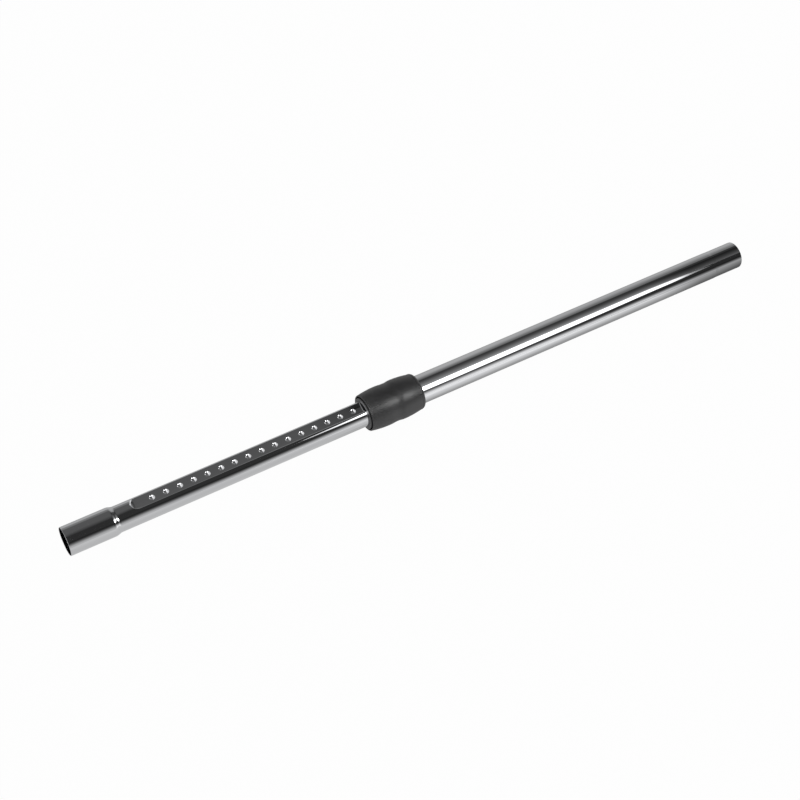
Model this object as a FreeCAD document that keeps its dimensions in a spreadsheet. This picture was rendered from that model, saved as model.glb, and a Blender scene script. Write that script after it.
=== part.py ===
import FreeCAD, Part
import math
import os
import re

import Sketcher
from FreeCAD import Vector

# Telescopic vacuum wand, in millimetres.
# The wand lies along X. The origin is on the axis, at the mouth of the handle socket,
# +X runs to the plain plug end, and the detent track faces +Z.

# Driving dimensions
SIZES = {
    # Both tubes
    "tube_wall": 0.7,
    "edge_break": 0.2,
    # Outer tube and its calibrated plug end
    "outer_od": 35.0,
    "outer_length": 541.0,
    "plug_step": 0.2,
    "plug_length": 38.0,
    "plug_neck": 4.0,
    # Swaged handle socket of the inner tube
    "socket_swell": 1.1,
    "socket_depth": 53.7,
    "shoulder_length": 8.8,
    # Detent track stamped along the top of the inner tube
    "track_width": 16.2,
    "track_depth": 3.25,
    "track_ramp": 2.0,
    "lead_spare": 16.6,
    "tail_spare": 10.0,
    "first_dimple": 105.2,
    "dimple_pitch": 17.11,
    "dimple_count": 19,
    "dimple_width": 6.5,
    "dimple_depth": 1.3,
    "dimple_round": 0.5,
    # Clearances
    "seat_clear": 0.05,
    "ride_clear": 0.25,
    "stop_gap": 0.3,
    # Glide ring on the hidden end of the inner tube
    "glide_length": 26.0,
    "glide_lip": 2.0,
    "glide_lead": 0.4,
    "glide_clear": 0.15,
    "glide_peg": 4.6,
    "glide_peg_inset": 9.0,
    "glide_seal_inset": 8.0,
    "glide_seal_width": 2.4,
    "glide_seal_depth": 0.6,
    "seal_crown": 0.3,
    # Guide bush in the mouth of the outer tube
    "bush_wall": 1.25,
    "bush_clear": 0.15,
    "bush_tail": 13.5,
    "collar_length": 12.5,
    "collar_round": 0.8,
    "flange_width": 4.0,
    "flange_step": 1.2,
    "flange_margin": 0.2,
    "key_lead": 10.0,
    "key_tail": 17.0,
    "key_clear": 0.25,
    "key_side": 1.1,
    "snap_peg": 5.0,
    "snap_inset": 10.5,
    "peg_root": 0.6,
    # Wiper seal in the collar
    "seal_inset": 2.4,
    "seal_width": 3.2,
    "seal_depth": 1.5,
    "lip_width": 1.4,
    "lip_height": 0.5,
    # Lock pawl and its cross pin
    "pawl_step": 0.75,
    "pawl_clear": 0.2,
    "pawl_chamfer": 0.4,
    "nose_play": 0.2,
    "nose_clear": 0.15,
    "nose_step": 0.5,
    "lug_flat": 0.9,
    "lug_head": 1.3,
    "pin_width": 1.6,
    "pin_height": 1.6,
    "pin_chamfer": 0.2,
    # Cam that lifts the pawl
    "sleeve_travel": 8.0,
    "lift_spare": 0.3,
    "cheek_wall": 1.2,
    "cheek_gap": 0.3,
    "cam_bridge": 4.5,
    "slot_clear": 0.1,
    # Sliding sleeve
    "rim_inset": 1.5,
    "rim_wall": 1.65,
    "rim_round": 0.8,
    "rim_chamfer": 0.3,
    "front_rise": 2.15,
    "front_bulge_reach": 12.5,
    "front_dip": 0.65,
    "back_dip": 0.8,
    "back_bulge_reach": 8.5,
    "back_fall": 2.2,
    "tail_inset": 4.3,
    "tail_drop": 1.4,
    "tail_round": 4.5,
    "web_wall": 2.2,
    "web_gap": 6.7,
    # End ring pressed into the back of the sleeve
    "ring_wall": 2.65,
    "ring_length": 9.6,
    "ring_gap": 9.0,
    "ring_inset": 0.4,
    "ring_chamfer": 0.4,
    # Return springs
    "spring_od": 2.6,
    "spring_wire": 0.4,
    "spring_turns": 7,
    "spring_spare": 1.2,
    "spring_angle": 60.0,
    "spring_peg_length": 2.5,
}

# Lengths that follow from the driving dimensions
DERIVED = {
    "outer_r": "outer_od / 2",
    "outer_bore": "outer_r - tube_wall",
    "plug_r": "outer_r - plug_step",
    "plug_bore": "plug_r - tube_wall",
    "bush_r": "outer_bore - seat_clear",
    "bush_bore": "bush_r - bush_wall",
    "inner_r": "bush_bore - bush_clear",
    "bore_r": "inner_r - tube_wall",
    "socket_in": "inner_r + socket_swell",
    "socket_r": "socket_in + tube_wall",
    "shoulder_drop": "socket_r - inner_r",
    "shoulder_end": "socket_depth + shoulder_length",
    "shoulder_bend": "(shoulder_length^2 + shoulder_drop^2) / (4 * shoulder_drop)",
    "shoulder_mid_x": "socket_depth + shoulder_length / 2",
    "shoulder_mid_r": "(socket_r + inner_r) / 2",
    "lean_x": "shoulder_length / 2 / shoulder_bend",
    "lean_r": "1 - shoulder_drop / 2 / shoulder_bend",
    "lock_x": "first_dimple + dimple_pitch * (dimple_count - 1)",
    "key_start": "lock_x - key_lead",
    "key_end": "lock_x + key_tail",
    "track_half": "track_width / 2",
    "track_floor": "inner_r - track_depth",
    "track_start": "first_dimple - key_lead - lead_spare",
    "track_end": "key_end + tail_spare",
    "track_sag": "sqrt(inner_r^2 - track_half^2) - track_floor",
    "trough_r": "(track_half^2 + track_sag^2) / (2 * track_sag)",
    "trough_half": "track_half + tube_wall",
    "trough_lip": "track_floor + trough_r - sqrt(trough_r^2 - trough_half^2)",
    "first_end": "track_start + trough_half + track_ramp",
    "last_end": "track_end - trough_half - track_ramp",
    "dimple_r": "(dimple_width^2 / 4 + dimple_depth^2) / (2 * dimple_depth)",
    "dimple_rise": "dimple_r - dimple_depth",
    "dimple_bottom": "track_floor - dimple_depth",
    "dimple_back": "sqrt((dimple_r + tube_wall)^2 - dimple_rise^2)",
    "cup_top": "track_floor + dimple_depth / 2",
    "cup_r": "sqrt(dimple_r^2 - (dimple_rise - dimple_depth / 2)^2)",
    "bush_end": "key_end + bush_tail",
    "glide_start": "bush_end + stop_gap",
    "inner_end": "glide_start + glide_length",
    "glide_end": "inner_end + glide_lip",
    "glide_seat": "inner_r + seat_clear",
    "glide_r": "outer_bore - glide_clear",
    "glide_peg_x": "inner_end - glide_peg_inset",
    "glide_groove": "glide_r - glide_seal_depth",
    "glide_groove_start": "glide_start + glide_seal_inset",
    "glide_groove_end": "glide_groove_start + glide_seal_width",
    "pawl_r": "dimple_width / 2 + pawl_step",
    "pawl_hole": "pawl_r + pawl_clear",
    "pawl_lift": "dimple_depth + lift_spare",
    "nose_radius": "dimple_r - nose_play",
    "nose_bottom": "dimple_bottom + nose_clear",
    "nose_top": "track_floor + nose_step",
    "nose_half": "sqrt(nose_radius^2 - (nose_radius - nose_top + nose_bottom)^2)",
    "ride_r": "outer_r + ride_clear",
    "lug_half": "pawl_r - lug_flat",
    "pin_r": "pin_width / 2",
    "pin_z": "outer_r + pin_height",
    "pawl_top": "pin_z + lug_head",
    "pawl_shoulder": "ride_r - pawl_lift - ride_clear",
    "cheek_in": "lug_half + cheek_gap",
    "cheek_out": "cheek_in + cheek_wall",
    "slot_half": "pin_r + slot_clear",
    "cam_start": "lock_x - pawl_r - stop_gap",
    "bridge_start": "lock_x + sleeve_travel + pawl_r + stop_gap",
    "cam_end": "bridge_start + cam_bridge",
    "cam_top": "pawl_top + pawl_lift + slot_clear",
    "spring_room": "sleeve_travel + spring_wire * spring_turns + spring_spare",
    "web_end": "cam_start - web_gap",
    "web_start": "web_end - web_wall",
    "mouth": "web_start - spring_room",
    "outer_end": "mouth + outer_length",
    "plug_start": "outer_end - plug_length",
    "neck_start": "plug_start - plug_neck",
    "collar_start": "mouth - collar_length",
    "flange_r": "ride_r + seat_clear + spring_od + flange_margin",
    "flange_back": "mouth - seat_clear",
    "flange_front": "flange_back - flange_width",
    "collar_r": "flange_r - flange_step",
    "key_half": "pawl_hole + key_side",
    "key_floor": "track_floor + trough_r - sqrt(trough_r^2 - key_half^2) + key_clear",
    "snap_x": "bush_end - snap_inset",
    "seal_start": "collar_start + seal_inset",
    "seal_end": "seal_start + seal_width",
    "seal_groove": "bush_bore + seal_depth",
    "seal_lip": "inner_r + seat_clear",
    "front_bore": "flange_r + ride_clear",
    "pocket_r": "ride_r + ring_wall",
    "rim_x": "collar_start + rim_inset",
    "rim_r": "front_bore + rim_wall",
    "flank_start": "rim_x + rim_round",
    "front_bulge": "rim_r + front_rise",
    "front_bulge_x": "lock_x - front_bulge_reach",
    "front_flank": "((front_bulge_x - flank_start)^2 + front_rise^2) / (2 * front_rise)",
    "front_bend": "(front_bulge_reach^2 + front_dip^2) / (4 * front_dip)",
    "waist_r": "front_bulge - front_dip",
    "back_bulge": "waist_r + back_dip",
    "back_bulge_x": "lock_x + back_bulge_reach",
    "back_bend": "(back_bulge_reach^2 + back_dip^2) / (4 * back_dip)",
    "ring_start": "cam_end + ring_gap",
    "ring_end": "ring_start + ring_length",
    "ring_r": "pocket_r - seat_clear",
    "tail_x": "ring_end + ring_inset",
    "tail_start": "tail_x - tail_inset",
    "tail_r": "back_bulge - back_fall",
    "tail_face": "tail_r - tail_drop",
    "back_flank": "((tail_start - back_bulge_x)^2 + back_fall^2) / (2 * back_fall)",
    "coil_r": "(spring_od - spring_wire) / 2",
    "spring_reach": "ride_r + seat_clear + spring_od / 2",
    "spring_up": "spring_reach * cos(spring_angle)",
    "spring_side": "spring_reach * sin(spring_angle)",
    "spring_peg_r": "coil_r - spring_wire / 2 - slot_clear",
}

# Turn of an arc along an outline, seen with the outline's first axis to the right
LEFT = 1
RIGHT = -1

# How closely an edge follows the tube's face, and at how many points it is tried
CLOSE = 0.001
RIM_SAMPLES = 5

doc = FreeCAD.newDocument("TelescopicWand")
sheet = doc.addObject("Spreadsheet::Sheet", "Sizes")
for row, (alias, size) in enumerate(SIZES.items(), start=1):
    sheet.set(f"A{row}", alias)
    sheet.set(f"B{row}", str(size))
    sheet.setAlias(f"B{row}", alias)
doc.recompute()


def bound(text):
    """The expression with every size and derived length replaced by its spreadsheet cells."""

    def swap(match):
        word = match.group()
        if word in SIZES:
            return f"Sizes.{word}"
        if word in DERIVED:
            return f"({bound(DERIVED[word])})"
        return word

    return re.sub(r"[A-Za-z_]\w*", swap, text)


def number(body, text):
    return float(body.evalExpression(bound(text)))


def new_body(label):
    body = doc.addObject("PartDesign::Body", label)
    body.Label = label
    return body


def origin_part(body, role):
    return next(part for part in body.Origin.OriginFeatures if part.Role == role)


def new_sketch(body, name, plane, shift):
    """Sketch on an origin plane of its body, moved by shift along the plane's own axes."""
    sketch = body.newObject("Sketcher::SketchObject", name)
    sketch.AttachmentSupport = [(origin_part(body, plane), "")]
    sketch.MapMode = "FlatFace"
    for axis, text in zip("xyz", shift):
        sketch.setExpression(f".AttachmentOffset.Base.{axis}", bound(text))
    return sketch


def bind(sketch, kind, *where, text, body):
    """Add a dimension whose value follows an expression."""
    index = sketch.addConstraint(Sketcher.Constraint(kind, *where, number(body, text)))
    sketch.setExpression(f"Constraints[{index}]", bound(text))


def pin_point(body, sketch, geometry, point, x, y):
    bind(sketch, "DistanceX", -1, 1, geometry, point, text=x, body=body)
    bind(sketch, "DistanceY", -1, 1, geometry, point, text=y, body=body)


def arc_between(start, end, radius, turn):
    """The short arc from start to end that turns left or right, always stored anticlockwise."""
    chord = end - start
    half = chord.Length / 2
    left = Vector(-chord.y, chord.x, 0).normalize()
    centre = (start + end) / 2 + left * (turn * math.sqrt(radius**2 - half**2))
    first, last = (start, end) if turn == LEFT else (end, start)
    angles = [math.atan2(point.y - centre.y, point.x - centre.x) for point in (first, last)]
    return Part.ArcOfCircle(Part.Circle(centre, Vector(0, 0, 1), radius), *angles)


def outline(body, name, plane, path, shift=("0", "0", "0")):
    """Closed outline. Each step is its corner (x, y), with a radius and a turn where an arc leaves it."""
    sketch = new_sketch(body, name, plane, shift)
    corners = [Vector(number(body, step[0]), number(body, step[1]), 0) for step in path]
    ends = []
    for index, step in enumerate(path):
        start = corners[index]
        end = corners[(index + 1) % len(path)]
        if len(step) == 2:
            edge = sketch.addGeometry(Part.LineSegment(start, end), False)
            ends.append((edge, 1, 2))
        else:
            radius, turn = step[2:]
            edge = sketch.addGeometry(arc_between(start, end, number(body, radius), turn), False)
            ends.append((edge, 1, 2) if turn == LEFT else (edge, 2, 1))
            bind(sketch, "Radius", edge, text=radius, body=body)
    for index, step in enumerate(path):
        edge, first, last = ends[index]
        after, next_first, _ = ends[(index + 1) % len(path)]
        sketch.addConstraint(Sketcher.Constraint("Coincident", edge, last, after, next_first))
        pin_point(body, sketch, edge, first, step[0], step[1])
    return sketch


def circle(body, name, plane, x, y, radius, shift=("0", "0", "0")):
    sketch = new_sketch(body, name, plane, shift)
    middle = Vector(number(body, x), number(body, y), 0)
    ring = sketch.addGeometry(Part.Circle(middle, Vector(0, 0, 1), number(body, radius)), False)
    bind(sketch, "Radius", ring, text=radius, body=body)
    pin_point(body, sketch, ring, 3, x, y)
    return sketch


def slot(body, name, plane, first, last, half_width, shift=("0", "0", "0")):
    """Round-ended slot between two centres, each an (x, y) pair."""
    sketch = new_sketch(body, name, plane, shift)
    a, b = (Vector(number(body, x), number(body, y), 0) for x, y in (first, last))
    radius = number(body, half_width)
    along = (b - a).normalize()
    side = Vector(-along.y, along.x, 0) * radius
    heading = math.atan2(along.y, along.x)
    up = heading + math.pi / 2
    down = heading - math.pi / 2
    near = sketch.addGeometry(
        Part.ArcOfCircle(Part.Circle(a, Vector(0, 0, 1), radius), up, up + math.pi), False
    )
    far = sketch.addGeometry(
        Part.ArcOfCircle(Part.Circle(b, Vector(0, 0, 1), radius), down, down + math.pi), False
    )
    lower = sketch.addGeometry(Part.LineSegment(a - side, b - side), False)
    upper = sketch.addGeometry(Part.LineSegment(b + side, a + side), False)
    for one, two in ((near, lower), (lower, far), (far, upper), (upper, near)):
        sketch.addConstraint(Sketcher.Constraint("Tangent", one, 2, two, 1))
    sketch.addConstraint(Sketcher.Constraint("Equal", near, far))
    bind(sketch, "Radius", near, text=half_width, body=body)
    pin_point(body, sketch, near, 3, *first)
    pin_point(body, sketch, far, 3, *last)
    return sketch


def settle(body, feature, cuts):
    """Rebuild, and stop if the new feature did not add or remove material as it should."""
    before = 0.0 if body.Shape.isNull() else body.Shape.Volume
    body.Tip = feature
    doc.recompute()
    change = body.Shape.Volume - before
    if change == 0 or (change < 0) != cuts:
        raise RuntimeError(f"{body.Label}: {feature.Name} changed the volume by {change}")
    return feature


def revolve(body, name, sketch, axis="H_Axis", cuts=False):
    kind = "PartDesign::Groove" if cuts else "PartDesign::Revolution"
    feature = body.newObject(kind, name)
    feature.Profile = sketch
    feature.ReferenceAxis = (sketch, [axis])
    feature.Angle = 360
    return settle(body, feature, cuts)


def extrude(body, name, sketch, length, side="One side", cuts=False, back=False):
    kind = "PartDesign::Pocket" if cuts else "PartDesign::Pad"
    feature = body.newObject(kind, name)
    feature.Profile = sketch
    feature.SideType = side
    feature.Reversed = back
    feature.setExpression("Length", bound(length))
    return settle(body, feature, cuts)


def edges_on(body, belongs):
    """Names of the body's edges of which every sampled point belongs to a given curve."""
    names = []
    for index, edge in enumerate(body.Shape.Edges, start=1):
        first, last = edge.ParameterRange
        step = (last - first) / RIM_SAMPLES
        if all(belongs(edge.valueAt(first + step * count)) for count in range(RIM_SAMPLES + 1)):
            names.append(f"Edge{index}")
    return names


def rims_of_dimples(body):
    """The edges where the dimples' cups meet the track's floor."""
    round_r, rise, floor = (number(body, text) for text in ("dimple_r", "dimple_rise", "track_floor"))
    start, pitch, count = (
        number(body, text) for text in ("first_dimple", "dimple_pitch", "dimple_count")
    )

    def on_rim(point):
        nearest = min(max(round((point.x - start) / pitch), 0), count - 1)
        along = point.x - start - pitch * nearest
        up = point.z - floor - rise
        reach = math.sqrt(along**2 + point.y**2 + up**2)
        return abs(reach - round_r) < CLOSE and point.z > floor - CLOSE

    return edges_on(body, on_rim)


def soften(body, name, feature, radius, edges):
    edge_round = body.newObject("PartDesign::Fillet", name)
    edge_round.Base = (feature, edges)
    edge_round.setExpression("Radius", bound(radius))
    return settle(body, edge_round, True)


def mirror(body, name, original, cuts=False):
    """Repeat a feature on the other side of the wand's upright middle plane."""
    feature = body.newObject("PartDesign::Mirrored", name)
    feature.Originals = [original]
    feature.MirrorPlane = (origin_part(body, "XZ_Plane"), [""])
    return settle(body, feature, cuts)


def row_of_dimples(body, name, original, cuts):
    feature = body.newObject("PartDesign::LinearPattern", name)
    feature.Originals = [original]
    feature.Direction = (origin_part(body, "X_Axis"), [""])
    feature.setExpression("Length", bound("dimple_pitch * (dimple_count - 1)"))
    feature.setExpression("Occurrences", bound("dimple_count"))
    return settle(body, feature, cuts)


def dished(body, name, deeper, top):
    """Section of the track's floor, as far below it as given, open towards the top."""
    lip = f"trough_lip - {deeper}"
    return outline(
        body,
        name,
        "YZ_Plane",
        [
            ("-trough_half", lip, f"trough_r + {deeper}", LEFT),
            ("trough_half", lip),
            ("trough_half", top),
            ("-trough_half", top),
        ],
        ("0", "0", "first_end"),
    )


def at_both_ends(body, name, original, cuts):
    feature = body.newObject("PartDesign::LinearPattern", name)
    feature.Originals = [original]
    feature.Direction = (origin_part(body, "X_Axis"), [""])
    feature.setExpression("Length", bound("last_end - first_end"))
    feature.Occurrences = 2
    return settle(body, feature, cuts)


def back_track(body):
    """Sheet under the track: dished along the middle, flat and round at the ends."""
    middle = dished(body, "TrackPanShape", "tube_wall", "inner_r")
    extrude(body, "TrackPan", middle, "last_end - first_end")
    end = slot(
        body,
        "TrackPanEndShape",
        "XY_Plane",
        ("first_end", "0"),
        ("first_end + tube_wall", "0"),
        "trough_half + track_ramp + tube_wall",
        ("0", "0", "track_floor - tube_wall"),
    )
    first = extrude(body, "TrackPanEnd", end, "tube_wall + track_depth")
    at_both_ends(body, "TrackPanEnds", first, False)


def press_track(body):
    """The track's dished floor, straight in the middle, with a round ramp at each end."""
    middle = dished(body, "TrackShape", "0", "2 * inner_r")
    extrude(body, "Track", middle, "last_end - first_end", cuts=True, back=True)
    end = outline(
        body,
        "TrackEndShape",
        "XZ_Plane",
        [
            ("0", "track_floor", "trough_r", LEFT),
            ("trough_half", "trough_lip"),
            ("trough_half + 2 * track_ramp", "2 * inner_r - trough_lip"),
            ("0", "2 * inner_r - trough_lip"),
        ],
        ("first_end", "0", "0"),
    )
    first = revolve(body, "TrackEnd", end, "V_Axis", cuts=True)
    at_both_ends(body, "TrackEnds", first, True)


def make_inner_tube():
    """Drawn steel tube: swaged socket, pressed track, a row of detent dimples, two peg holes."""
    body = new_body("inner_tube")
    wall = outline(
        body,
        "InnerWall",
        "XZ_Plane",
        [
            ("0", "socket_in + edge_break"),
            ("0", "socket_r - edge_break"),
            ("edge_break", "socket_r"),
            ("socket_depth", "socket_r", "shoulder_bend", RIGHT),
            ("shoulder_mid_x", "shoulder_mid_r", "shoulder_bend", LEFT),
            ("shoulder_end", "inner_r"),
            ("inner_end", "inner_r"),
            ("inner_end", "bore_r"),
            ("shoulder_end", "bore_r", "shoulder_bend + tube_wall", RIGHT),
            (
                "shoulder_mid_x - tube_wall * lean_x",
                "shoulder_mid_r - tube_wall * lean_r",
                "shoulder_bend - tube_wall",
                LEFT,
            ),
            ("socket_depth", "socket_in"),
            ("edge_break", "socket_in"),
        ],
    )
    revolve(body, "InnerShell", wall)
    back_track(body)
    trim = outline(
        body,
        "TrackTrimShape",
        "XZ_Plane",
        [
            ("track_start - 2 * tube_wall", "inner_r"),
            ("track_end + 2 * tube_wall", "inner_r"),
            ("track_end + 2 * tube_wall", "2 * inner_r"),
            ("track_start - 2 * tube_wall", "2 * inner_r"),
        ],
    )
    revolve(body, "TrackTrim", trim, cuts=True)
    at_first_dimple = ("first_dimple", "0", "0")
    back = outline(
        body,
        "DimpleBackShape",
        "XZ_Plane",
        [
            ("0", "dimple_bottom - tube_wall", "dimple_r + tube_wall", LEFT),
            ("dimple_back", "track_floor"),
            ("0", "track_floor"),
        ],
        at_first_dimple,
    )
    first_back = revolve(body, "DimpleBack", back, "V_Axis")
    row_of_dimples(body, "DimpleBacks", first_back, False)
    press_track(body)
    cup = outline(
        body,
        "DimpleShape",
        "XZ_Plane",
        [
            ("0", "dimple_bottom", "dimple_r", LEFT),
            ("cup_r", "cup_top"),
            ("cup_r", "inner_r"),
            ("0", "inner_r"),
        ],
        at_first_dimple,
    )
    first_cup = revolve(body, "Dimple", cup, "V_Axis", cuts=True)
    cups = row_of_dimples(body, "Dimples", first_cup, True)
    soften(body, "DimpleEdges", cups, "dimple_round", rims_of_dimples(body))
    holes = circle(body, "GlideHoleShape", "XZ_Plane", "glide_peg_x", "0", "glide_peg / 2 + seat_clear")
    extrude(body, "GlideHoles", holes, "4 * inner_r", "Symmetric", cuts=True)
    return body


def make_inner_glide():
    """Guide ring over the hidden end of the inner tube, held by two pegs in its wall."""
    body = new_body("inner_glide")
    ring = outline(
        body,
        "GlideShape",
        "XZ_Plane",
        [
            ("glide_start", "glide_seat"),
            ("glide_start", "glide_r - glide_lead"),
            ("glide_start + glide_lead", "glide_r"),
            ("glide_groove_start", "glide_r"),
            ("glide_groove_start", "glide_groove"),
            ("glide_groove_end", "glide_groove"),
            ("glide_groove_end", "glide_r"),
            ("glide_end - glide_lead", "glide_r"),
            ("glide_end", "glide_r - glide_lead"),
            ("glide_end", "bore_r"),
            ("inner_end + seat_clear", "bore_r"),
            ("inner_end + seat_clear", "glide_seat"),
        ],
    )
    revolve(body, "GlideRing", ring)
    at_bore = ("0", "0", "bore_r")
    peg = circle(body, "GlidePegShape", "XZ_Plane", "glide_peg_x", "0", "glide_peg / 2", at_bore)
    first_peg = extrude(body, "GlidePeg", peg, "glide_seat + glide_lead - bore_r")
    mirror(body, "GlidePegs", first_peg)
    return body


def make_glide_seal():
    """Felt ring in the glide's groove, which wipes the outer tube's bore."""
    body = new_body("glide_seal")
    ring = outline(
        body,
        "GlideSealShape",
        "XZ_Plane",
        [
            ("glide_groove_start + seat_clear", "glide_groove + seat_clear"),
            ("glide_groove_start + seat_clear", "outer_bore - seat_clear - seal_crown"),
            ("glide_groove_start + seat_clear + seal_crown", "outer_bore - seat_clear"),
            ("glide_groove_end - seat_clear - seal_crown", "outer_bore - seat_clear"),
            ("glide_groove_end - seat_clear", "outer_bore - seat_clear - seal_crown"),
            ("glide_groove_end - seat_clear", "glide_groove + seat_clear"),
        ],
    )
    revolve(body, "GlideSealRing", ring)
    return body


def make_outer_tube():
    """Drawn steel tube: calibrated plug end, a hole for the pawl and two for the bush's pegs."""
    body = new_body("outer_tube")
    wall = outline(
        body,
        "OuterWall",
        "XZ_Plane",
        [
            ("mouth", "outer_bore"),
            ("mouth", "outer_r"),
            ("neck_start", "outer_r"),
            ("plug_start", "plug_r"),
            ("outer_end - edge_break", "plug_r"),
            ("outer_end", "plug_r - edge_break"),
            ("outer_end", "plug_bore + edge_break"),
            ("outer_end - edge_break", "plug_bore"),
            ("plug_start", "plug_bore"),
            ("neck_start", "outer_bore"),
        ],
    )
    revolve(body, "OuterShell", wall)
    lock_hole = circle(body, "LockHoleShape", "XY_Plane", "lock_x", "0", "pawl_hole")
    extrude(body, "LockHole", lock_hole, "outer_od", cuts=True, back=True)
    snap_holes = circle(body, "SnapHoleShape", "XZ_Plane", "snap_x", "0", "snap_peg / 2 + seat_clear")
    extrude(body, "SnapHoles", snap_holes, "2 * outer_od", "Symmetric", cuts=True)
    return body


def make_guide_bush():
    """Moulded bush: collar and spring flange outside the outer tube, guide and key inside it."""
    body = new_body("guide_bush")
    wall = outline(
        body,
        "BushShape",
        "XZ_Plane",
        [
            ("collar_start", "bush_bore"),
            ("collar_start", "collar_r - collar_round", "collar_round", RIGHT),
            ("collar_start + collar_round", "collar_r"),
            ("flange_front", "collar_r"),
            ("flange_front", "flange_r"),
            ("flange_back", "flange_r"),
            ("flange_back", "bush_r"),
            ("bush_end", "bush_r"),
            ("bush_end", "bush_bore"),
            ("seal_end", "bush_bore"),
            ("seal_end", "seal_groove"),
            ("seal_start", "seal_groove"),
            ("seal_start", "bush_bore"),
        ],
    )
    revolve(body, "BushShell", wall)
    key = slot(
        body,
        "KeyShape",
        "XY_Plane",
        ("key_start + key_half", "0"),
        ("key_end - key_half", "0"),
        "key_half",
        ("0", "0", "key_floor"),
    )
    extrude(body, "Key", key, "bush_r - key_floor")
    trim = outline(
        body,
        "KeyTrimShape",
        "XZ_Plane",
        [
            ("key_start - key_clear", "bush_r"),
            ("key_start - key_clear", "outer_od"),
            ("key_end + key_clear", "outer_od"),
            ("key_end + key_clear", "bush_r"),
        ],
    )
    revolve(body, "KeyTrim", trim, cuts=True)
    hole = circle(body, "PawlGuideShape", "XY_Plane", "lock_x", "0", "pawl_hole")
    extrude(body, "PawlGuide", hole, "outer_od", cuts=True, back=True)
    in_wall = ("0", "0", "bush_r - peg_root")
    peg = circle(body, "SnapPegShape", "XZ_Plane", "snap_x", "0", "snap_peg / 2", in_wall)
    first_peg = extrude(body, "SnapPeg", peg, "outer_r - seat_clear - bush_r + peg_root")
    mirror(body, "SnapPegs", first_peg)
    behind_flange = ("0", "0", "flange_back")
    stub = circle(
        body, "SpringPegShape", "YZ_Plane", "spring_side", "spring_up", "spring_peg_r", behind_flange
    )
    first_stub = extrude(body, "SpringPeg", stub, "spring_peg_length")
    mirror(body, "SpringPegs", first_stub)
    return body


def make_wiper_seal():
    """Rubber ring in the collar, with one lip on the inner tube."""
    body = new_body("wiper_seal")
    ring = outline(
        body,
        "WiperShape",
        "XZ_Plane",
        [
            ("seal_start + seat_clear", "seal_lip"),
            ("seal_start + seat_clear", "seal_groove - seat_clear"),
            ("seal_end - seat_clear", "seal_groove - seat_clear"),
            ("seal_end - seat_clear", "seal_lip + lip_height"),
            ("seal_start + lip_width", "seal_lip + lip_height"),
            ("seal_start + lip_width / 2", "seal_lip"),
        ],
    )
    revolve(body, "WiperRing", ring)
    return body


def make_lock_pawl():
    """Round plunger whose domed nose sits in a dimple, with a flat lug between the cam's cheeks."""
    body = new_body("lock_pawl")
    plunger = outline(
        body,
        "PlungerShape",
        "XZ_Plane",
        [
            ("0", "nose_bottom", "nose_radius", LEFT),
            ("nose_half", "nose_top"),
            ("pawl_r", "nose_top"),
            ("pawl_r", "pawl_top - pawl_chamfer"),
            ("pawl_r - pawl_chamfer", "pawl_top"),
            ("0", "pawl_top"),
        ],
        ("lock_x", "0", "0"),
    )
    revolve(body, "Plunger", plunger, "V_Axis")
    flat = outline(
        body,
        "LugFlatShape",
        "YZ_Plane",
        [
            ("lug_half", "pawl_shoulder"),
            ("2 * pawl_r", "pawl_shoulder"),
            ("2 * pawl_r", "outer_od"),
            ("lug_half", "outer_od"),
        ],
        ("0", "0", "lock_x"),
    )
    first_flat = extrude(body, "LugFlat", flat, "4 * pawl_r", "Symmetric", cuts=True)
    mirror(body, "LugFlats", first_flat, cuts=True)
    hole = circle(body, "PinHoleShape", "XZ_Plane", "lock_x", "pin_z", "pin_r + seat_clear")
    extrude(body, "PinHole", hole, "4 * pawl_r", "Symmetric", cuts=True)
    return body


def make_pawl_pin():
    """Steel cross pin of the pawl, which runs in both slots of the cam."""
    body = new_body("pawl_pin")
    half = outline(
        body,
        "PinShape",
        "YZ_Plane",
        [
            ("0", "0"),
            ("0", "pin_r - pin_chamfer"),
            ("pin_chamfer", "pin_r"),
            ("2 * cheek_out - pin_chamfer", "pin_r"),
            ("2 * cheek_out", "pin_r - pin_chamfer"),
            ("2 * cheek_out", "0"),
        ],
        ("-cheek_out", "pin_z", "lock_x"),
    )
    revolve(body, "Pin", half)
    return body


def make_cam_slider():
    """Forked cam: two cheeks with rising slots, joined by a bridge behind the pawl."""
    body = new_body("cam_slider")
    block = outline(
        body,
        "CamBlockShape",
        "XZ_Plane",
        [
            ("cam_start", "ride_r"),
            ("cam_end", "ride_r"),
            ("cam_end", "cam_top"),
            ("cam_start", "cam_top"),
        ],
    )
    extrude(body, "CamBlock", block, "2 * cheek_out", "Symmetric")
    gap = outline(
        body,
        "ForkShape",
        "XZ_Plane",
        [
            ("rim_x", "0"),
            ("bridge_start", "0"),
            ("bridge_start", "outer_od"),
            ("rim_x", "outer_od"),
        ],
    )
    extrude(body, "Fork", gap, "2 * cheek_in", "Symmetric", cuts=True)
    ramp = slot(
        body,
        "CamSlotShape",
        "XZ_Plane",
        ("lock_x", "pin_z"),
        ("lock_x + sleeve_travel", "pin_z + pawl_lift"),
        "slot_half",
    )
    extrude(body, "CamSlots", ramp, "4 * cheek_out", "Symmetric", cuts=True)
    return body


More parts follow.
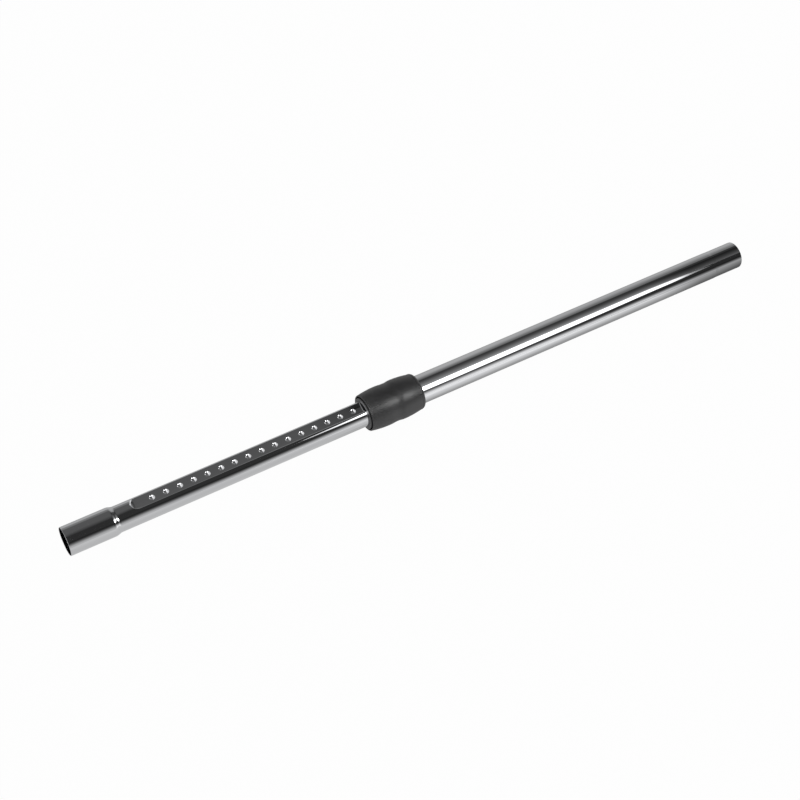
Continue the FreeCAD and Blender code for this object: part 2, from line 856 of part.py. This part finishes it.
def make_slide_sleeve():
    """Moulded grip sleeve, waisted outside, with a web for the springs and a recess for the cam."""
    body = new_body("slide_sleeve")
    wall = outline(
        body,
        "SleeveShape",
        "XZ_Plane",
        [
            ("rim_x", "front_bore + rim_chamfer"),
            ("rim_x", "rim_r - rim_round", "rim_round", RIGHT),
            ("flank_start", "rim_r", "front_flank", RIGHT),
            ("front_bulge_x", "front_bulge", "front_bend", RIGHT),
            ("lock_x - front_bulge_reach / 2", "waist_r + front_dip / 2", "front_bend", LEFT),
            ("lock_x", "waist_r", "back_bend", LEFT),
            ("lock_x + back_bulge_reach / 2", "waist_r + back_dip / 2", "back_bend", RIGHT),
            ("back_bulge_x", "back_bulge", "back_flank", RIGHT),
            ("tail_start", "tail_r", "tail_round", RIGHT),
            ("tail_x", "tail_face"),
            ("tail_x", "pocket_r"),
            ("web_end", "pocket_r"),
            ("web_end", "ride_r"),
            ("web_start", "ride_r"),
            ("web_start", "front_bore"),
            ("rim_x + rim_chamfer", "front_bore"),
        ],
    )
    revolve(body, "SleeveShell", wall)
    recess = outline(
        body,
        "CamRecessShape",
        "XZ_Plane",
        [
            ("cam_start - seat_clear", "ride_r"),
            ("cam_end + seat_clear", "ride_r"),
            ("cam_end + seat_clear", "cam_top + seat_clear"),
            ("cam_start - seat_clear", "cam_top + seat_clear"),
        ],
    )
    extrude(body, "CamRecess", recess, "2 * (cheek_out + seat_clear)", "Symmetric", cuts=True)
    return body


def make_end_ring():
    """Bearing ring that closes the back of the sleeve and slides on the outer tube."""
    body = new_body("end_ring")
    ring = outline(
        body,
        "EndRingShape",
        "XZ_Plane",
        [
            ("ring_start", "ride_r"),
            ("ring_start", "ring_r - ring_chamfer"),
            ("ring_start + ring_chamfer", "ring_r"),
            ("ring_end", "ring_r"),
            ("ring_end", "ride_r + ring_chamfer"),
            ("ring_end - ring_chamfer", "ride_r"),
        ],
    )
    revolve(body, "EndRing", ring)
    return body


def make_return_spring(label, side):
    """Coil spring beside the outer tube, between the bush's flange and the sleeve's web."""
    body = new_body(label)
    # The sketch plane's own third axis points to -Y
    on_axis = ("mouth + spring_wire / 2", "spring_up", f"{-side} * spring_side")
    wire = circle(body, "WireShape", "XZ_Plane", "0", "coil_r", "spring_wire / 2", on_axis)
    coil = body.newObject("PartDesign::AdditiveHelix", "Coil")
    coil.Profile = wire
    coil.ReferenceAxis = (wire, ["H_Axis"])
    coil.Mode = "height-turns-angle"
    coil.setExpression("Height", bound("spring_room - spring_wire - seat_clear"))
    coil.setExpression("Turns", bound("spring_turns"))
    settle(body, coil, False)
    return body


bodies = [
    make_inner_tube(),
    make_inner_glide(),
    make_glide_seal(),
    make_outer_tube(),
    make_guide_bush(),
    make_wiper_seal(),
    make_lock_pawl(),
    make_pawl_pin(),
    make_cam_slider(),
    make_slide_sleeve(),
    make_end_ring(),
    make_return_spring("left_spring", 1),
    make_return_spring("right_spring", -1),
]
doc.recompute()

for item in doc.Objects:
    if "Invalid" in item.State or "Error" in item.State:
        raise RuntimeError(f"{item.Label} did not build: {item.State}")
for body in bodies:
    if body.Shape.isNull() or not body.Shape.isValid() or len(body.Shape.Solids) != 1:
        raise RuntimeError(f"{body.Label} is not one sound solid")

os.makedirs("parts", exist_ok=True)
for body in bodies:
    body.Shape.exportStep(os.path.join("parts", f"{body.Label}.step"))
    print(body.Label, round(body.Shape.Volume, 1), body.Shape.BoundBox)
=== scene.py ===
import math

import bpy
from mathutils import Matrix, Vector


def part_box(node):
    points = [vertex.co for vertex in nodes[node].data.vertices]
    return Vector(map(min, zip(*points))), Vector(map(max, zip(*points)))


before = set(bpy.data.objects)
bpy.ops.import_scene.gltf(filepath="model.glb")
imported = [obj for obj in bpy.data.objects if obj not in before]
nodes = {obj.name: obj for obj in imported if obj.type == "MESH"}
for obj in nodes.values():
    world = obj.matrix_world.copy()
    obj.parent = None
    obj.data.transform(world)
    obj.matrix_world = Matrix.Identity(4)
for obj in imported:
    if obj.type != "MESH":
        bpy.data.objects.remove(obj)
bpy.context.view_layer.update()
scene = bpy.context.scene
scene.view_settings.view_transform = "Standard"


# Materials

RAMP_LOW = 0.3
RAMP_HIGH = 0.7
DRIFT_DETAIL = 4.0
RELIEF_DETAIL = 6.0
GRAIN_HEIGHT = 0.0002
FELT_HEIGHT = 0.0004


def new_material(name):
    mat = bpy.data.materials.new(name)
    mat.use_nodes = True
    return mat


def add(mat, kind, **values):
    node = mat.node_tree.nodes.new(kind)
    for key, value in values.items():
        setattr(node, key, value)
    return node


def link(mat, source, target):
    mat.node_tree.links.new(source, target)


def shader_of(mat):
    return mat.node_tree.nodes["Principled BSDF"]


def object_space(mat, stretch):
    coords = add(mat, "ShaderNodeTexCoord")
    mapping = add(mat, "ShaderNodeMapping")
    mapping.inputs["Scale"].default_value = stretch
    link(mat, coords.outputs["Object"], mapping.inputs["Vector"])
    return mapping.outputs["Vector"]


def noise(mat, stretch, scale, detail):
    texture = add(mat, "ShaderNodeTexNoise")
    texture.inputs["Scale"].default_value = scale
    texture.inputs["Detail"].default_value = detail
    link(mat, object_space(mat, stretch), texture.inputs["Vector"])
    return texture.outputs["Fac"]


def span(mat, source, low, high):
    node = add(mat, "ShaderNodeMapRange")
    node.inputs["To Min"].default_value = low
    node.inputs["To Max"].default_value = high
    link(mat, source, node.inputs["Value"])
    return node.outputs["Result"]


def tint(mat, source, dark, light):
    ramp = add(mat, "ShaderNodeValToRGB")
    ramp.color_ramp.elements[0].position = RAMP_LOW
    ramp.color_ramp.elements[0].color = (*dark, 1)
    ramp.color_ramp.elements[1].position = RAMP_HIGH
    ramp.color_ramp.elements[1].color = (*light, 1)
    link(mat, source, ramp.inputs["Fac"])
    return ramp.outputs["Color"]


def bump(mat, source, strength, distance):
    node = add(mat, "ShaderNodeBump")
    node.inputs["Strength"].default_value = strength
    node.inputs["Distance"].default_value = distance
    link(mat, source, node.inputs["Height"])
    return node.outputs["Normal"]


def surface(name, stretch, scale, dark, light, rough, grain, depth, height=GRAIN_HEIGHT, metal=0.0,
            gloss=0.5):
    """A finish whose colour and roughness drift, with a fine relief of its own."""
    mat = new_material(name)
    shader = shader_of(mat)
    shader.inputs["Metallic"].default_value = metal
    shader.inputs["Specular IOR Level"].default_value = gloss
    drift = noise(mat, stretch, scale, DRIFT_DETAIL)
    link(mat, tint(mat, drift, dark, light), shader.inputs["Base Color"])
    link(mat, span(mat, drift, *rough), shader.inputs["Roughness"])
    relief = noise(mat, stretch, grain, RELIEF_DETAIL)
    link(mat, bump(mat, relief, depth, height), shader.inputs["Normal"])
    return mat


# Drawn metal is streaked along the wand, and mouldings look the same each way
DRAWN = (0.04, 1.0, 1.0)
EVEN = (1.0, 1.0, 1.0)

chrome = surface("chrome_tube", DRAWN, scale=160.0, dark=(0.64, 0.645, 0.66), light=(0.70, 0.705, 0.715),
                 rough=(0.03, 0.05), grain=420.0, depth=0.02, metal=1.0)
sleeve_plastic = surface("sleeve_plastic", EVEN, scale=60.0, dark=(0.020, 0.020, 0.021),
                         light=(0.026, 0.026, 0.027), rough=(0.38, 0.45), grain=1400.0, depth=0.2,
                         gloss=0.8)
guide_plastic = surface("guide_plastic", EVEN, scale=90.0, dark=(0.030, 0.030, 0.032),
                        light=(0.038, 0.038, 0.040), rough=(0.26, 0.34), grain=700.0, depth=0.12,
                        gloss=0.8)
cam_plastic = surface("cam_plastic", EVEN, scale=70.0, dark=(0.66, 0.65, 0.60), light=(0.73, 0.72, 0.67),
                      rough=(0.32, 0.42), grain=500.0, depth=0.1)
seal_rubber = surface("seal_rubber", EVEN, scale=200.0, dark=(0.016, 0.016, 0.016),
                      light=(0.025, 0.025, 0.025), rough=(0.6, 0.75), grain=900.0, depth=0.3)
seal_felt = surface("seal_felt", EVEN, scale=400.0, dark=(0.47, 0.45, 0.40), light=(0.60, 0.58, 0.53),
                    rough=(0.9, 1.0), grain=2500.0, depth=0.8, height=FELT_HEIGHT, gloss=0.1)
steel = surface("steel", DRAWN, scale=300.0, dark=(0.52, 0.52, 0.54), light=(0.60, 0.60, 0.62),
                rough=(0.2, 0.32), grain=900.0, depth=0.1, metal=1.0)

FINISH = {
    "inner_tube": chrome,
    "outer_tube": chrome,
    "slide_sleeve": sleeve_plastic,
    "guide_bush": guide_plastic,
    "end_ring": guide_plastic,
    "inner_glide": cam_plastic,
    "lock_pawl": cam_plastic,
    "cam_slider": cam_plastic,
    "wiper_seal": seal_rubber,
    "glide_seal": seal_felt,
    "pawl_pin": steel,
    "left_spring": steel,
    "right_spring": steel,
}
for name, mat in FINISH.items():
    data = nodes[name].data
    data.materials.clear()
    data.materials.append(mat)


# Camera

CAMERA_PLACE = Vector((-0.242521, -0.772172, 1.600879))
CAMERA_RIGHT = Vector((0.860048, -0.495887, 0.120054))
CAMERA_UP = Vector((0.369669, 0.767820, 0.523256))
CAMERA_LENS = 71.96
CAMERA_SENSOR = 36.0

camera_data = bpy.data.cameras.new("camera")
camera_data.lens = CAMERA_LENS
camera_data.sensor_width = CAMERA_SENSOR
camera = bpy.data.objects.new("camera", camera_data)
scene.collection.objects.link(camera)
camera_back = CAMERA_RIGHT.cross(CAMERA_UP)
turn = Matrix((CAMERA_RIGHT, CAMERA_UP, camera_back)).transposed()
camera.matrix_world = Matrix.Translation(CAMERA_PLACE) @ turn.to_4x4()
scene.camera = camera


# Studio light. One material serves every panel, with its level kept on the panel's own points.

WHITE = (1, 1, 1, 1)
WHITE_LEVEL = 1.0


def level_of(mat):
    level = add(mat, "ShaderNodeAttribute", attribute_name="level")
    glow = add(mat, "ShaderNodeEmission")
    link(mat, level.outputs["Fac"], glow.inputs["Strength"])
    return glow.outputs["Emission"]


def stage_mesh(name, points, faces, levels, mat):
    data = bpy.data.meshes.new(name)
    data.from_pydata(points, [], faces)
    layer = data.attributes.new("level", "FLOAT", "POINT")
    for item, level in zip(layer.data, levels):
        item.value = level
    data.materials.append(mat)
    obj = bpy.data.objects.new(name, data)
    scene.collection.objects.link(obj)
    return obj


def grid_faces(rows, columns):
    faces = []
    for i in range(rows - 1):
        for k in range(columns - 1):
            a = i * columns + k
            b = a + columns
            faces.append((a, b, b + 1, a + 1))
    return faces


def between(stops, place):
    """Value at a place on a line of (place, value) stops."""
    for (x0, v0), (x1, v1) in zip(stops, stops[1:]):
        if place <= x1:
            share = max(0.0, (place - x0) / (x1 - x0))
            return v0 + (v1 - v0) * share
    return stops[-1][1]


# The floor touches the sleeve and the plug end, which carry the wand

FLOOR_GAP = 0.0002
PLUG_STEP = 0.0002
FLOOR_FAR = 4.0
FLOOR_COLOUR = (0.88, 0.88, 0.88, 1)
FLOOR_ROUGHNESS = 0.9
FLOOR_SELF_LIT = 0.98
sleeve_low, sleeve_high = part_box("slide_sleeve")
tube_low, tube_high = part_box("outer_tube")
rest_x = (sleeve_low.x + sleeve_high.x) / 2
plug_z = tube_low.z + PLUG_STEP
floor_slope = (plug_z - sleeve_low.z) / (tube_high.x - rest_x)


def floor_height(x):
    return sleeve_low.z - FLOOR_GAP + (x - rest_x) * floor_slope


# How bright the floor shows in the chrome is painted, by place along the wand, and by distance from the
# wand on its front and back. It is lower at the left end and towards the plug end, and darker near the
# wand, a painted shadow of the wand that shows only in gloss. The places slant away from the camera with
# the distance.
FLOOR_ALONG = [(-FLOOR_FAR, 0.72), (0.3, 0.72), (0.42, 1.15), (0.62, 1.15), (0.74, 1.08), (0.8, 1.0),
               (0.86, 0.5), (0.93, 0.36), (FLOOR_FAR, 0.36)]
FLOOR_FRONT_SHADOW = [(0.0, 0.2), (0.012, 0.28), (0.025, 0.36), (0.054, 0.64), (0.148, 1.0), (0.4, 1.05),
               (FLOOR_FAR, 1.05)]
FLOOR_BACK_SHADOW = [(0.0, 0.3), (0.025, 0.42), (0.148, 0.54), (FLOOR_FAR, 0.54)]
FLOOR_LEFT = 0.3
FLOOR_LEFT_LEAST = 0.92
FLOOR_SLANT = 0.5
FLOOR_SLANT_END = 0.4

floor_mat = new_material("studio_floor")
floor_shader = shader_of(floor_mat)
floor_shader.inputs["Base Color"].default_value = FLOOR_COLOUR
floor_shader.inputs["Roughness"].default_value = FLOOR_ROUGHNESS
floor_shader.inputs["Specular IOR Level"].default_value = 0.0
floor_white = add(floor_mat, "ShaderNodeEmission")
floor_white.inputs["Strength"].default_value = WHITE_LEVEL
floor_path = add(floor_mat, "ShaderNodeLightPath")
floor_share = add(floor_mat, "ShaderNodeMath", operation="MULTIPLY")
floor_share.inputs[1].default_value = FLOOR_SELF_LIT
link(floor_mat, floor_path.outputs["Is Camera Ray"], floor_share.inputs[0])
floor_mix = add(floor_mat, "ShaderNodeMixShader")
link(floor_mat, floor_share.outputs[0], floor_mix.inputs["Fac"])
link(floor_mat, floor_shader.outputs["BSDF"], floor_mix.inputs[1])
link(floor_mat, floor_white.outputs["Emission"], floor_mix.inputs[2])
# In gloss the floor shows its painted levels, painted shadow included, in place of its lit colour
floor_mirrored = add(floor_mat, "ShaderNodeMixShader")
link(floor_mat, floor_path.outputs["Is Glossy Ray"], floor_mirrored.inputs["Fac"])
link(floor_mat, floor_mix.outputs["Shader"], floor_mirrored.inputs[1])
link(floor_mat, level_of(floor_mat), floor_mirrored.inputs[2])
floor_out = floor_mat.node_tree.nodes["Material Output"]
link(floor_mat, floor_mirrored.outputs["Shader"], floor_out.inputs["Surface"])

floor_points = []
floor_levels = []
floor_ys = [-y for y, painted_shadow in reversed(FLOOR_FRONT_SHADOW)] + [y for y, painted_shadow in FLOOR_BACK_SHADOW[1:]]
for x, along in FLOOR_ALONG:
    for y in floor_ys:
        # In front of the wand the floor's level in gloss is darkened near the wand, a painted shadow, and
        # at the left end only a little
        painted_shadow = between(FLOOR_FRONT_SHADOW, -y)
        if x <= FLOOR_LEFT:
            painted_shadow = max(painted_shadow, FLOOR_LEFT_LEAST)
        level = along * painted_shadow
        # Behind the wand the level comes from its own table, also darker near the wand as painted shadow
        if y > 0:
            level = between(FLOOR_BACK_SHADOW, y)
        place = x + FLOOR_SLANT * min(abs(y), FLOOR_SLANT_END)
        floor_points.append((place, y, floor_height(place)))
        floor_levels.append(level)
floor_faces = grid_faces(len(FLOOR_ALONG), len(floor_ys))
stage_mesh("studio_floor", floor_points, floor_faces, floor_levels, floor_mat)


# Panels curve round the wand's axis. A row says where along the wand the panel shows to the camera,
# the first and last height across the wand at which it shows there (-1 top edge, 1 bottom edge), and
# its level there. A profile is the panel's level from its first edge to its last. The surface turns
# by the arcsine of that height, and what it mirrors by twice as much.

CAMERA_REACH = math.hypot(CAMERA_PLACE.y, CAMERA_PLACE.z)
CAMERA_ANGLE = math.atan2(-CAMERA_PLACE.y, CAMERA_PLACE.z)
PANEL_STEPS = 24

panel_mat = new_material("studio_panel")
panel_mat.node_tree.nodes.remove(shader_of(panel_mat))
link(panel_mat, level_of(panel_mat), panel_mat.node_tree.nodes["Material Output"].inputs["Surface"])


def panel(name, radius, rows, profile, lights_object=False):
    """A curved panel that shows in gloss, and lights the object only where asked."""
    points = []
    levels = []
    for shows_x, first, last, row_level in rows:
        x = shows_x + radius * (shows_x - CAMERA_PLACE.x) / CAMERA_REACH
        for k in range(PANEL_STEPS + 1):
            share = k / PANEL_STEPS
            height = first + (last - first) * share
            angle = CAMERA_ANGLE + 2 * math.asin(height)
            points.append((x, -radius * math.sin(angle), radius * math.cos(angle)))
            levels.append(row_level * between(profile, share))
    obj = stage_mesh(name, points, grid_faces(len(rows), PANEL_STEPS + 1), levels, panel_mat)
    obj.visible_camera = False
    obj.visible_shadow = False
    obj.visible_diffuse = lights_object
    obj.visible_transmission = False
    return obj


# A nearer panel hides the ones behind it
ROOM_RADIUS = 2.0
WALL_RADIUS = 1.95
FILL_RADIUS = 1.93
SPILL_RADIUS = 1.92
SOFTBOX_RADIUS = 1.9
CORE_RADIUS = 1.89
CARD_RADIUS = 1.88
END_RADIUS = 1.87

ROOM_ROWS = [(-1.6, -0.95, 0.58, 0.036), (0.2, -0.95, 0.58, 0.036), (0.5, -0.95, 0.58, 0.045),
             (0.85, -0.95, 0.58, 0.03), (2.2, -0.95, 0.58, 0.03)]
ROOM_PROFILE = [(0.0, 1.0), (1.0, 1.0)]
panel("dark_room", ROOM_RADIUS, ROOM_ROWS, ROOM_PROFILE)

BACK_ROWS = [(-1.6, -0.95, -0.45, 0.6), (0.0, -0.95, -0.45, 0.55), (0.15, -0.95, -0.45, 0.45),
             (0.25, -0.95, -0.45, 0.6), (0.36, -0.95, -0.45, 0.85), (0.5, -0.95, -0.45, 1.0),
             (0.78, -0.95, -0.45, 0.82), (2.2, -0.95, -0.45, 0.85)]
BACK_PROFILE = [(0.0, 0.58), (0.1, 0.57), (0.3, 0.53), (0.5, 0.32), (0.7, 0.135), (0.9, 0.055), (1.0, 0.05)]
panel("back_wall", WALL_RADIUS, BACK_ROWS, BACK_PROFILE)

FRONT_ROWS = [(-1.6, 0.15, 0.58, 0.6), (0.09, 0.15, 0.58, 0.6), (0.2, 0.21, 0.58, 0.6),
              (0.34, 0.2, 0.58, 0.78), (0.45, 0.17, 0.58, 1.08), (0.56, 0.18, 0.58, 1.15),
              (0.62, 0.21, 0.58, 1.15), (0.7, 0.24, 0.58, 1.05), (0.78, 0.24, 0.58, 1.02),
              (0.86, 0.26, 0.58, 0.55), (0.93, 0.24, 0.58, 0.42), (2.2, 0.24, 0.58, 0.42)]
FRONT_PROFILE = [(0.0, 0.03), (0.15, 0.05), (0.25, 0.1), (0.4, 0.3), (0.5, 0.5), (0.65, 0.82), (0.78, 1.0),
                 (1.0, 1.08)]
panel("front_wall", WALL_RADIUS, FRONT_ROWS, FRONT_PROFILE, lights_object=True)

SPILL_ROWS = [(0.36, -0.55, -0.07, 0.25), (0.45, -0.55, -0.1, 0.85), (0.62, -0.53, -0.12, 0.9),
              (0.78, -0.51, -0.12, 0.72), (0.85, -0.46, -0.02, 0.28), (0.93, -0.46, 0.02, 0.3),
              (2.2, -0.46, 0.02, 0.3)]
SPILL_PROFILE = [(0.0, 0.05), (0.2, 0.08), (0.4, 0.14), (0.65, 0.26), (1.0, 0.5)]
panel("spill", SPILL_RADIUS, SPILL_ROWS, SPILL_PROFILE)

FILL_ROWS = [(-1.6, -0.72, -0.2, 0.12), (0.0, -0.72, -0.2, 0.13), (0.3, -0.72, -0.2, 0.12),
             (0.38, -0.72, -0.2, 0.06)]
FILL_PROFILE = [(0.0, 1.0), (0.6, 0.95), (0.85, 0.6), (1.0, 0.3)]
panel("fill", FILL_RADIUS, FILL_ROWS, FILL_PROFILE)

SOFTBOX_ROWS = [(0.29, 0.05, 0.09, 0.8), (0.33, 0.02, 0.12, 1.6), (0.37, -0.03, 0.155, 2.4),
                (0.455, -0.135, 0.215, 2.8), (0.5, -0.155, 0.215, 2.8), (0.62, -0.175, 0.185, 2.8),
                (0.7, -0.175, 0.155, 2.8), (0.78, -0.165, 0.115, 2.8), (0.82, -0.11, 0.115, 2.2),
                (0.85, -0.05, 0.1, 0.5), (0.88, 0.03, 0.09, 0.1)]
SOFTBOX_PROFILE = [(0.0, 0.06), (0.2, 0.4), (0.32, 1.0), (0.85, 1.0), (1.0, 0.15)]
panel("softbox", SOFTBOX_RADIUS, SOFTBOX_ROWS, SOFTBOX_PROFILE, lights_object=True)

# The hot middle of the softbox and its low left end only show as gloss
CORE_ROWS = [(0.36, 0.04, 0.08, 2.0), (0.39, -0.03, 0.1, 11.0), (0.455, -0.06, 0.14, 12.0),
             (0.62, -0.08, 0.11, 9.0), (0.76, -0.09, 0.07, 5.0), (0.8, -0.04, 0.06, 2.0)]
CORE_PROFILE = [(0.0, 0.3), (0.25, 1.0), (0.75, 1.0), (1.0, 0.3)]
panel("softbox_core", CORE_RADIUS, CORE_ROWS, CORE_PROFILE)
END_ROWS = [(-0.5, -0.12, 0.16, 4.0), (-0.3, -0.12, 0.16, 5.0), (-0.06, -0.1, 0.14, 4.0)]
panel("softbox_end", END_RADIUS, END_ROWS, CORE_PROFILE)

# Cards beyond both ends of the wand show in the dimples, the swage and the rims
CARD_PROFILE = [(0.0, 0.5), (0.2, 1.0), (0.8, 1.0), (1.0, 0.5)]
LEFT_CARD_ROWS = [(-2.2, -0.88, 0.25, 0.6), (-0.8, -0.88, 0.25, 0.7), (-0.55, -0.88, 0.25, 1.3),
                  (-0.06, -0.88, 0.25, 1.2)]
panel("left_card", CARD_RADIUS, LEFT_CARD_ROWS, CARD_PROFILE)
RIGHT_CARD_ROWS = [(1.15, -0.95, -0.4, 0.8), (1.5, -0.95, -0.4, 1.2), (2.2, -0.95, -0.4, 1.2)]
panel("right_card", CARD_RADIUS, RIGHT_CARD_ROWS, CARD_PROFILE)


# World. It lights at a plain level, and shows as white to the camera and in metal.

WORLD_LIGHT = 0.4

world = bpy.data.worlds.new("studio")
scene.world = world
world.use_nodes = True
tree = world.node_tree
lit = tree.nodes["Background"]
lit.inputs["Color"].default_value = WHITE
lit.inputs["Strength"].default_value = WORLD_LIGHT
shown = add(world, "ShaderNodeBackground")
shown.inputs["Color"].default_value = WHITE
shown.inputs["Strength"].default_value = WHITE_LEVEL
path = add(world, "ShaderNodeLightPath")
seen = add(world, "ShaderNodeMath", operation="MAXIMUM")
link(world, path.outputs["Is Camera Ray"], seen.inputs[0])
link(world, path.outputs["Is Glossy Ray"], seen.inputs[1])
seen_or_through = add(world, "ShaderNodeMath", operation="MAXIMUM")
link(world, seen.outputs[0], seen_or_through.inputs[0])
link(world, path.outputs["Is Transmission Ray"], seen_or_through.inputs[1])
mix = add(world, "ShaderNodeMixShader")
link(world, seen_or_through.outputs[0], mix.inputs["Fac"])
link(world, lit.outputs["Background"], mix.inputs[1])
link(world, shown.outputs["Background"], mix.inputs[2])
link(world, mix.outputs["Shader"], tree.nodes["World Output"].inputs["Surface"])
